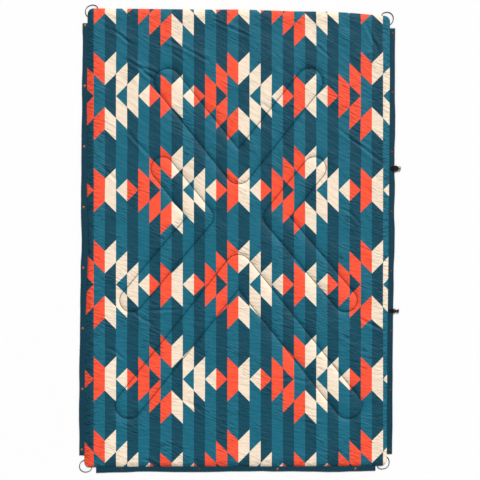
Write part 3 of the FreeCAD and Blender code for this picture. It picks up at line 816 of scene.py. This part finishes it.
def drape_noise(plan):
    """Broad unevenness of the filling, and slack that runs down to the right in the upper half."""
    x, y = plan[..., 0], plan[..., 1]
    broad = lattice_noise(x / 0.09 + 7, y / 0.09 + 3, 61) * 0.0011
    slant = lattice_noise((x + y) / 0.035, (x - y) / 0.16, 62) * 0.0011 * smoothstep((y + 0.1) / 0.6)
    level = lattice_noise(x / 0.11, y / 0.026, 63) * 0.0009 * np.exp(-(((y + 0.25) / 0.28) ** 2))
    return broad + slant + level


def fine_relief(plan):
    """Everything finer than the simulated grid: puckers, the creases' sharp lines and the stitch groove."""
    groove = 0.0012 * np.exp(-((stitch_distance(plan)[0] / 0.0026) ** 2))
    return pucker_height(plan) + 0.9 * crease_height(plan) - groove


LEFT_RISE = 0.42


def under_left_placket(points):
    """Keeps the cloth low along the left seam, where the placket folds right over onto it."""
    limit = SEAM_HEIGHT + LEFT_RISE * inside(LEFT, points[..., :2] - FOLD[:2])[1]
    points[..., 2] = np.minimum(points[..., 2], np.maximum(limit, SEAM_HEIGHT - 0.001))


SIM_FRAMES = 18
SIM_MOVE_LIMIT = 0.006
SLACK = 0.028
PIN_LEVELS = 20
LOOSE_HOLD = 0.15
CLOTH_SETTINGS = {
    "quality": 4,
    "mass": 0.12,
    "air_damping": 2.0,
    "tension_stiffness": 12,
    "compression_stiffness": 12,
    "shear_stiffness": 4,
    "bending_stiffness": 0.02,
    "vertex_group_mass": "pins",
    "pin_stiffness": 0.6,
    "vertex_group_shrink": "slack",
    "shrink_min": 0.0,
    "shrink_max": -SLACK,
    "use_pressure": True,
    "uniform_pressure_force": 0.4,
}


def simulate_cloth(piece, pinned, slack):
    """Lets the cloth puff and wrinkle between its pinned stitches, then keeps the result."""
    rest = coordinates(piece)
    for name, shares in (("pins", np.where(pinned, 1.0, LOOSE_HOLD)), ("slack", slack)):
        group = piece.vertex_groups.new(name=name)
        levels = np.round(shares * PIN_LEVELS).astype(int)
        for level in range(1, PIN_LEVELS + 1):
            group.add(np.nonzero(levels == level)[0].tolist(), level / PIN_LEVELS, "REPLACE")
    modifier = piece.modifiers.new("cloth", "CLOTH")
    for key, value in CLOTH_SETTINGS.items():
        setattr(modifier.settings, key, value)
    modifier.settings.effector_weights.gravity = 0.0
    modifier.collision_settings.use_collision = False
    modifier.collision_settings.use_self_collision = False
    modifier.point_cache.frame_start = 1
    modifier.point_cache.frame_end = SIM_FRAMES
    scene = bpy.context.scene
    scene.frame_start, scene.frame_end = 1, SIM_FRAMES
    for number in range(1, SIM_FRAMES + 1):
        scene.frame_set(number)
    apply_modifiers(piece)
    scene.frame_set(1)
    piece.vertex_groups.clear()
    moved = coordinates(piece) - rest
    reach = np.linalg.norm(moved, axis=1)
    scale = np.minimum(1, SIM_MOVE_LIMIT / np.maximum(reach, 1e-9))
    set_coordinates(piece, rest + moved * scale[:, None])


def make_shell():
    columns, rows = GRID
    plan = grid_plan(columns, rows).reshape(-1, 2)
    cell = 2.0 / rows
    gap, target, _ = stitch_distance(plan)
    on_line = gap < 0.52 * cell
    plan = np.where(on_line[:, None], target, plan)
    height = shell_height(plan) + np.where(on_line, 0, drape_noise(plan) + 0.6 * crease_height(plan))
    edge = edge_distance(plan)
    height = np.where(edge < 0.002, SEAM_HEIGHT, np.maximum(height, SEAM_HEIGHT))
    slack = np.clip(np.exp(-gap / 0.05) + np.exp(-edge / 0.07) + crease_nearness(plan) + 0.15, 0, 1)
    plan = wander(plan)
    points = np.column_stack([plan, height])
    rim = grid_rim(columns, rows)
    points, skirt = rim_rings(points, rim, [(-0.0002, 0.0022), (0.0002, 0.0013), (0.0040, 0.0030)])
    faces = grid_faces(columns, rows).tolist() + skirt
    piece = mesh_object("printed_shell", points + FOLD * (1, 1, 0), faces, SHELL_CLOTH)
    bow = PRINT_BOW * (1 - (points[:, 1] / PRINT_BOW_REACH) ** 2)
    lying = points[:, :2]
    add_uv(piece, "cloth", lying - np.column_stack([0 * bow, bow]) + crease_shift(lying))
    add_uv(piece, "plan", lying)
    pinned = np.ones(len(points), bool)
    pinned[: len(height)] = on_line | (edge < 0.002)
    loose = np.zeros(len(points))
    loose[: len(height)] = slack
    simulate_cloth(piece, pinned, loose)
    coarse = coordinates(piece)[: len(height)].reshape(rows + 1, columns + 1, 3)
    under_left_placket(coarse)
    subdivide(piece)
    points = coordinates(piece)
    local = points[:, :2] - FOLD[:2]
    top = smoothstep((points[:, 2] - SEAM_HEIGHT) / 0.002)
    points[:, 2] += top * fine_relief(local)
    under_left_placket(points)
    set_coordinates(piece, points)
    return piece, coarse


def lining_height(plan):
    """The lining lies on the ground, lifts at the stitch lines and at the seam."""
    gap, _, run = stitch_distance(plan)
    near = np.exp(-gap / 0.02)
    lift = 0.0014 * np.exp(-gap / 0.011) + 0.0019 * np.exp(-np.maximum(edge_distance(plan), 0) / 0.011)
    x, y = plan[..., 0], plan[..., 1]
    folds = lattice_noise(x / 0.05, y / 0.08, 71) + lattice_noise((x - y) / 0.022, (x + y) / 0.12, 72)
    gathers = lattice_noise(run / 0.012, gap / 0.05, 73) * near * 0.0005
    return np.maximum(lift + 0.0006 * folds * (1 - 0.6 * near) + gathers, 0.0) + 0.0001


def make_lining():
    columns, rows = LINING_GRID
    plan = grid_plan(columns, rows).reshape(-1, 2)
    gap, target, _ = stitch_distance(plan)
    plan = np.where((gap < 0.5 * 2.0 / rows)[:, None], target, plan)
    height = lining_height(plan)
    plan = wander(plan)
    points = np.column_stack([plan, height])
    points[grid_rim(columns, rows), 2] = 0.0014
    faces = grid_faces(columns, rows)[:, ::-1].tolist()
    piece = mesh_object("lining", points + FOLD * (1, 1, 0), faces, LINING_CLOTH)
    add_uv(piece, "cloth", plan)
    add_uv(piece, "plan", plan)
    subdivide(piece)
    points = coordinates(piece)
    points[:, 2] = np.maximum(points[:, 2], 0.0001)
    set_coordinates(piece, points)
    return piece


def spread(values, choose):
    """The least or the greatest value within two cells."""
    for axis in (0, 1):
        around = [np.roll(values, shift, axis) for shift in (-2, -1, 0, 1, 2)]
        values = choose.reduce(around)
    return values


def make_batting(coarse):
    """The filling: its top follows the shell a little below it, its underside the lining."""
    plan = coarse[..., :2] - FOLD[:2]
    cut = (slice(BATTING_INSET, -BATTING_INSET),) * 2
    at_fold = np.exp(-((plan[..., 0] / FOLD_REACH) ** 2)) * BATTING_FOLD_CLEARANCE
    below = (spread(lining_height(plan), np.maximum) + at_fold)[cut] + BATTING_CLEARANCE
    low = (spread(coarse[..., 2] + np.minimum(fine_relief(plan), 0), np.minimum) - at_fold)[cut] - BATTING_GAP
    top = coarse[cut].copy()
    top[..., 2] = np.maximum(low, below + BATTING_CLEARANCE)
    rows, columns = top.shape[0] - 1, top.shape[1] - 1
    under = top.copy()
    under[..., 2] = below
    count = top.shape[0] * top.shape[1]
    rim = grid_rim(columns, rows)
    faces = grid_faces(columns, rows)
    faces = faces.tolist() + (faces[:, ::-1] + count).tolist() + wall_faces(rim, rim + count)
    points = np.concatenate([top.reshape(-1, 3), under.reshape(-1, 3)])
    return mesh_object("batting", points, faces, BATTING)


def blend_fold(piece):
    """Bakes the placement of a piece that crosses the middle fold into its mesh."""
    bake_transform(piece)


shell, coarse_shell = make_shell()
lining = make_lining()
batting = make_batting(coarse_shell)
shell_tree, lining_tree = (
    BVHTree.FromPolygons(coordinates(cloth).tolist(), [tuple(face.vertices) for face in cloth.data.polygons])
    for cloth in (shell, lining)
)


# ---- stitches ----

STITCH_LENGTH = 0.0034
STITCH_PITCH = 0.0042
STITCH_RADIUS = 0.00042
STITCH_SIDES = 6
STITCH_STANDS_OUT = 0.0001
# Rings along a stitch: place along it, share of its radius, and rise
STITCH_RINGS = [
    (-0.5, 0.25, -0.0004), (-0.36, 0.85, 0.0), (0.0, 1.0, 0.0001), (0.36, 0.85, 0.0), (0.5, 0.25, -0.0004)
]


def tube_faces(first, rings, sides):
    """Faces of a closed tube whose rings of vertices start at first."""
    faces = []
    for ring in range(rings - 1):
        low, high = first + ring * sides, first + (ring + 1) * sides
        for i in range(sides):
            j = (i + 1) % sides
            faces.append((low + i, low + j, high + j, high + i))
    faces.append(tuple(first + i for i in reversed(range(sides))))
    faces.append(tuple(first + (rings - 1) * sides + i for i in range(sides)))
    return faces


def stitches(name, dashes, length, radius):
    """One small rounded stitch at each (point, direction, up or down), sunk at both ends."""
    points, faces = [], []
    angles = np.arange(STITCH_SIDES) * 2 * math.pi / STITCH_SIDES
    for centre, direction, way in dashes:
        ahead = Vector(direction).normalized()
        side = ahead.cross(Vector((0, 0, 1))).normalized()
        up = side.cross(ahead)
        first = len(points)
        for along, thickness, rise in STITCH_RINGS:
            middle = Vector(centre) + ahead * (along * length) + Vector((0, 0, way * rise))
            for angle in angles:
                reach = radius * thickness
                points.append(middle + side * (math.cos(angle) * reach) + up * (math.sin(angle) * reach))
        faces += tube_faces(first, len(STITCH_RINGS), STITCH_SIDES)
    return mesh_object(name, points, faces, QUILT_THREAD)


def outline_points(points, half_width, step):
    """The round outline of a channel, sampled about every step, in order."""
    samples = []
    legs = list(zip(points, points[1:]))
    route = [Side(start, end) for start, end in legs + [(end, start) for start, end in reversed(legs)]]
    for leg, after in zip(route, route[1:] + route[:1]):
        samples += list(leg.plan(np.arange(0, leg.length, step), half_width))
        turn = math.atan2(-(leg.out @ after.along), leg.along @ after.along)
        turn = math.pi if abs(abs(turn) - math.pi) < 1e-6 else turn
        headings = math.atan2(leg.out[1], leg.out[0]) + np.arange(0, turn, step / half_width)
        samples += list(after.start + half_width * np.stack([np.cos(headings), np.sin(headings)], -1))
    samples = np.array(samples)
    return samples[nearest_on_line(samples, points)[1] > half_width - 1e-5]


def evenly(points, pitch):
    """(point, direction) every pitch along a closed line."""
    closed = np.vstack([points, points[:1]])
    steps = np.hypot(*np.diff(closed, axis=0).T)
    total = np.concatenate([[0], np.cumsum(steps)])
    places = np.arange(0, total[-1] - pitch / 2, pitch)
    x, y = (np.interp(places, total, closed[:, i]) for i in (0, 1))
    ahead_x, ahead_y = (np.interp((places + pitch / 3) % total[-1], total, closed[:, i]) for i in (0, 1))
    return [((a, b), (c - a, d - b)) for a, b, c, d in zip(x, y, ahead_x, ahead_y)]


def quilting_dashes():
    """Stitches on the printed side, and between them the ones on the lining."""
    dashes = []
    for points, half_width in CHANNELS:
        for index, ((x, y), (run_x, run_y)) in enumerate(
            evenly(outline_points(points, half_width, 0.002), STITCH_PITCH / 2)
        ):
            tree, start, way = ((shell_tree, 0.1, -1), (lining_tree, -0.1, 1))[index % 2]
            spots = []
            for share in (-1.0, 1.0):
                place = Vector((x + FOLD[0] + share * run_x, y + FOLD[1] + share * run_y, start))
                spots.append(tree.ray_cast(place, Vector((0, 0, way)))[0])
            if None not in spots:
                middle = (spots[0] + spots[1]) / 2 - Vector((0, 0, way * STITCH_STANDS_OUT))
                dashes.append((middle, spots[1] - spots[0], -way))
    return dashes


quilting = stitches("quilting_stitches", quilting_dashes(), STITCH_LENGTH, STITCH_RADIUS)


# ---- plackets ----

PLACKET_MIDDLE = 0.0023
PLACKET_WIDTH = 0.023
ROW_OUTS = (0.0034, 0.0216)
ROW_INSET = 0.003
ROW_PITCH_ALONG = 0.0032
ROW_GAP = 0.009
ROW_HALF_STEP = 0.0012
ROW_HEIGHT = 0.00062
ROW_STITCH_LENGTH = 0.0026
ROW_STITCH_RADIUS = 0.00034
PLACKET_STEP = 0.006
SNAP_OUT = 0.0125
LEFT_SNAPS = [0.0745 + 0.2654 * i for i in range(8)]
RIGHT_SNAPS = [0.0695 + 0.2606 * i for i in range(8)]
FOLD_ALONG_BOTTOM = 0.674
BOTTOM_SNAPS = [FOLD_ALONG_BOTTOM + x for x in (-0.5115, -0.1705, 0.1705, 0.5115)]
CLIP_TABS = [0.678, 1.301]
# How far the outer edge of each placket wanders as it lies: (along, out)
LEFT_EDGE = [
    (0.0, -0.003), (0.4, -0.0005), (0.9, 0.0), (1.02, -0.004), (1.3, 0.0), (1.7, 0.003), (1.97, -0.002)
]
RIGHT_EDGE = [(0.0, 0.001), (0.55, 0.0), (1.0, 0.005), (1.45, 0.003), (1.95, -0.001)]
BOTTOM_EDGE = [(0.0, 0.003), (0.25, -0.002), (0.45, 0.001), (0.8, -0.003), (1.1, 0.002), (1.3, -0.002)]
# Across the strip, from the seam to the outer edge: place, half thickness
PLACKET_SECTION = [
    (-0.010, 0.00035), (-0.004, 0.00040), (0.0, 0.00045), (0.0022, 0.00055), (0.0029, 0.00050),
    (0.0034, 0.00038), (0.0039, 0.00050), (0.0055, 0.00060), (0.0085, 0.00058), (0.0125, 0.00058),
    (0.0165, 0.00058), (0.0195, 0.00062), (0.0211, 0.00056), (0.0216, 0.00042), (0.0221, 0.00058),
    (0.0227, 0.00056), (0.0230, 0.00030),
]


class Placket:
    """A strip of folded cloth sewn into the seam, slack between its press studs."""

    def __init__(self, name, side, span, edge, snaps, level, seed):
        self.name, self.side, self.span, self.edge = name, side, span, edge
        self.snaps, self.level, self.seed = snaps, level, seed

    def slack(self, along):
        """0 at a stud or a sewn tab, 1 well away from them."""
        nearest = np.full(np.shape(along), FAR_AWAY)
        for place in self.snaps + self.level:
            nearest = np.minimum(nearest, np.abs(along - place))
        return smoothstep((nearest - 0.012) / 0.07)

    def place(self, along, out):
        """Plan and middle height of the strip."""
        along, out = np.broadcast_arrays(np.asarray(along, float), np.asarray(out, float))
        share = np.clip(out / PLACKET_WIDTH, 0, 1)
        slack = self.slack(along)
        ripple = lattice_noise(along / 0.028, share * 1.5, self.seed)
        swell = lattice_noise(along / 0.09, share, self.seed + 1)
        height = PLACKET_MIDDLE - slack * share * (0.0006 - 0.0007 * ripple - 0.0005 * swell)
        moved = out + share * (eased(along, self.edge) * (0.3 + 0.7 * slack) + 0.0007 * slack * swell)
        plan = self.side.plan(along.ravel(), moved.ravel()).reshape(*along.shape, 2)
        return plan, np.maximum(height, 0.0009)

    def strip(self, name, section, material, slot, span_inset=0.0):
        start, end = self.span[0] + span_inset, self.span[1] - span_inset
        alongs = np.linspace(start, end, int((end - start) / PLACKET_STEP) + 1)
        outs = np.array([out for out, _ in section])
        halves = np.array([half for _, half in section])
        along, out = np.meshgrid(alongs, outs, indexing="ij")
        plan, middle = self.place(along, out)
        top = np.dstack([plan, middle + halves])
        under = np.dstack([plan, middle - halves])[:, ::-1]
        ring = np.concatenate([top, under], 1)
        rows, columns = ring.shape[:2]
        index = np.arange(rows * columns).reshape(rows, columns)
        after = np.roll(index, -1, 1)
        faces = np.stack([index[:-1], index[1:], after[1:], after[:-1]], -1).reshape(-1, 4).tolist()
        half = columns // 2
        for row, flip in ((0, False), (rows - 1, True)):
            for i in range(half - 1):
                ends = (i, i + 1, columns - 2 - i, columns - 1 - i)
                face = [int(index[row, end]) for end in ends]
                faces.append(face[::-1] if flip else face)
        points = ring.reshape(-1, 3)
        piece = mesh_object(name, points + FOLD * (1, 1, 0), faces, material)
        flat = np.stack([np.tile(along, 2), np.concatenate([out, out[:, ::-1]], 1)], -1).reshape(-1, 2)
        add_uv(piece, "cloth", flat)
        return piece

    def rows(self, name):
        """Two rows of topstitching, broken at the sewn tabs."""
        dashes = []
        for out in ROW_OUTS:
            for along in np.arange(self.span[0] + ROW_INSET, self.span[1] - ROW_INSET, ROW_PITCH_ALONG):
                if any(abs(along - place) < ROW_GAP for place in self.level):
                    continue
                ends = []
                for step in (-ROW_HALF_STEP, ROW_HALF_STEP):
                    plan, middle = self.place(along + step, out)
                    ends.append(Vector((*(plan.ravel() + FOLD[:2]), float(middle) + ROW_HEIGHT)))
                dashes.append(((ends[0] + ends[1]) / 2, ends[1] - ends[0], 1))
        return stitches(name, dashes, ROW_STITCH_LENGTH, ROW_STITCH_RADIUS)


TAPE_SECTION = [(0.0045, 0.00012), (0.0085, 0.00018), (0.0165, 0.00018), (0.0205, 0.00012)]

# Press studs as (radius, height) in millimetres, from the middle of the top round to the middle
# underneath
SNAP_SIDES = 32
CAP_PROFILE = [
    (0.3, 4.40), (1.4, 4.37), (2.6, 4.27), (3.6, 4.10), (4.3, 3.90), (4.65, 3.76), (4.8, 3.66), (4.92, 3.68),
    (5.1, 3.74), (5.3, 3.66), (5.45, 3.50), (5.5, 3.32), (5.45, 3.12), (5.3, 2.98), (5.05, 2.90), (1.4, 2.90),
    (1.4, 1.25), (0.3, 1.20),
]
SOCKET_PROFILE = [
    (0.3, 1.70), (4.4, 1.70), (4.65, 1.62), (4.75, 1.45), (4.75, 0.60), (4.6, 0.30), (4.2, 0.12),
    (3.4, 0.04), (2.6, 0.0), (2.2, 0.04), (2.05, 0.18), (2.05, 0.40), (2.65, 0.44), (2.65, 0.82),
    (2.05, 0.86), (2.05, 1.20), (0.3, 1.20),
]
STUD_PROFILE = [
    (0.3, 3.50), (1.0, 3.50), (1.1, 3.60), (1.1, 4.85), (1.2, 4.96), (1.45, 5.0), (1.75, 4.94),
    (1.92, 4.75), (1.95, 4.50), (1.93, 4.20), (1.83, 4.0), (1.75, 3.88), (1.75, 3.60), (1.9, 3.50),
    (3.6, 3.47), (4.25, 3.42), (4.5, 3.30), (4.6, 3.15), (4.55, 3.0), (4.35, 2.90), (0.3, 2.90),
]
BACK_PROFILE = [
    (0.3, 3.48), (1.4, 3.48), (1.4, 1.70), (4.7, 1.70), (4.95, 1.60), (5.0, 1.40), (4.9, 1.12), (4.5, 0.90),
    (3.4, 0.76), (1.8, 0.70), (0.3, 0.70),
]


def turned(name, side, alongs, profile, material):
    """The same turned part at each place along a placket."""
    angles = np.arange(SNAP_SIDES) * 2 * math.pi / SNAP_SIDES
    points, faces = [], []
    for x, y in side.plan(np.array(alongs), SNAP_OUT) + FOLD[:2]:
        faces += [face[::-1] for face in tube_faces(len(points), len(profile), SNAP_SIDES)]
        points += [
            (x + radius * math.cos(a) / 1000, y + radius * math.sin(a) / 1000, height / 1000)
            for radius, height in profile for a in angles
        ]
    return mesh_object(name, points, faces, material)


PLACKETS = {
    "left": Placket("left", LEFT, (0.065, 1.956), LEFT_EDGE, LEFT_SNAPS, [], 81),
    "right": Placket("right", RIGHT, (0.052, 1.915), RIGHT_EDGE, RIGHT_SNAPS, CLIP_TABS, 83),
    "bottom": Placket("bottom", BOTTOM, (0.052, 1.274), BOTTOM_EDGE, BOTTOM_SNAPS, [], 85),
}
PIVOT_OUT = 0.0016
PIVOT_REACH = 0.0026

placket_pieces = {}
for side_name, placket in PLACKETS.items():
    strip = placket.strip(f"{side_name}_placket", PLACKET_SECTION, PLACKET_CLOTH, "placket")
    tape = placket.strip(f"{side_name}_stay_tape", TAPE_SECTION, TAPE_CLOTH, "tape", 0.004)
    rows = placket.rows(f"{side_name}_topstitching")
    placket_pieces[side_name] = (strip, tape, rows)


SNAP_PARTS = {
    "caps": (CAP_PROFILE, COPPER),
    "sockets": (SOCKET_PROFILE, COPPER),
    # Painted shade: the studs get the darker copy of the copper plate.
    "studs": (STUD_PROFILE, SHADED_COPPER),
    "posts": (BACK_PROFILE, COPPER),
}
SNAP_ROWS = [
    (("caps", "sockets"), "left", LEFT_SNAPS, "left_flap"),
    (("caps", "sockets"), "bottom", BOTTOM_SNAPS[2:], "right_half"),
    (("studs", "posts"), "right", RIGHT_SNAPS, "right_flap"),
    (("studs", "posts"), "bottom", BOTTOM_SNAPS[:2], "left_half"),
]
for kinds, row, alongs, body in SNAP_ROWS:
    for kind in kinds:
        piece = turned(f"{row}_snap_{kind}", PLACKETS[row].side, alongs, *SNAP_PARTS[kind])
        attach(piece, body)
        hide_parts(f"snap_{kind}_{row}")


# ---- what each piece rides on and stands for ----

for piece in (shell, lining, batting, quilting):
    blend_fold(piece)
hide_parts("shell_left", "shell_right")
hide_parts("lining_left", "lining_right")
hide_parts("insulation_left", "insulation_right")
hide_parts("quilting_thread_left", "quilting_thread_right")

for side_name in ("left", "right"):
    side = PLACKETS[side_name].side
    strip, tape, rows = placket_pieces[side_name]
    middle = side.length / 2
    start = side.at(middle, PIVOT_OUT - PIVOT_REACH, PLACKET_MIDDLE)
    end = side.at(middle, PIVOT_OUT + PIVOT_REACH, PLACKET_MIDDLE)
    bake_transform(strip)
    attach(tape, f"{side_name}_flap")
    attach(rows, f"{side_name}_flap")
    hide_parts(f"placket_{side_name}")
    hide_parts(f"placket_tape_{side_name}")
    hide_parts(f"placket_thread_{side_name}")

for piece, node in zip(placket_pieces["bottom"], ("placket", "placket_tape", "placket_thread")):
    blend_fold(piece)
    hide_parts(f"{node}_bottom_left", f"{node}_bottom_right")

for strip, tape, rows in placket_pieces.values():
    placket = PLACKETS[strip.name.split("_")[0]]


# ---- materials of the pieces that come from the frame ----

NODE_MATERIALS = {
    "snap_springs": SPRING_STEEL,
    "clip_webbing": WEBBING,
    "clip_bartacks": BARTACK_THREAD,
    "clip_receiver": CLIP_PLASTIC,
    "clip_hook": CLIP_PLASTIC,
    "loop_bartacks": BARTACK_THREAD,
}

for node_name, node_object in frame["nodes"].items():
    for prefix, material in NODE_MATERIALS.items():
        if node_name.startswith(prefix):
            node_object.data.materials.clear()
            node_object.data.materials.append(material)


# ---- floor and light ----

FLOOR_REACH = 12.0
FLOOR_HEIGHT = -0.0004
SKY_STRENGTH = 0.38
SUN_TOWARDS = (0.55, 1.0, 1.0)
SUN_STRENGTH = 3.05
SUN_SPREAD = 20


def make_floor():
    low, high = -FLOOR_REACH, FLOOR_REACH
    points = [(x, y, FLOOR_HEIGHT) for x, y in ((low, low), (high, low), (high, high), (low, high))]
    mesh = bpy.data.meshes.new("floor")
    mesh.from_pydata(points, [], [(0, 1, 2, 3)])
    g = Graph("pale floor")
    g.finish(Base_Color=(0.97, 0.97, 0.97, 1), Roughness=0.9)
    mesh.materials.append(g.material)
    add_object("floor", mesh)


def make_sun():
    """A broad soft light, as wide as a large softbox."""
    data = bpy.data.lights.new("key", "SUN")
    data.energy = SUN_STRENGTH
    data.angle = math.radians(SUN_SPREAD)
    light = add_object("key", data)
    light.rotation_mode = "QUATERNION"
    light.rotation_quaternion = (-Vector(SUN_TOWARDS)).to_track_quat("-Z", "Y")


def make_sky():
    world = bpy.data.worlds.new("studio")
    world.use_nodes = True
    background = world.node_tree.nodes["Background"]
    background.inputs["Color"].default_value = (1, 1, 1, 1)
    background.inputs["Strength"].default_value = SKY_STRENGTH
    bpy.context.scene.world = world


make_floor()
make_sky()
make_sun()
bpy.context.scene.view_settings.view_transform = "Standard"
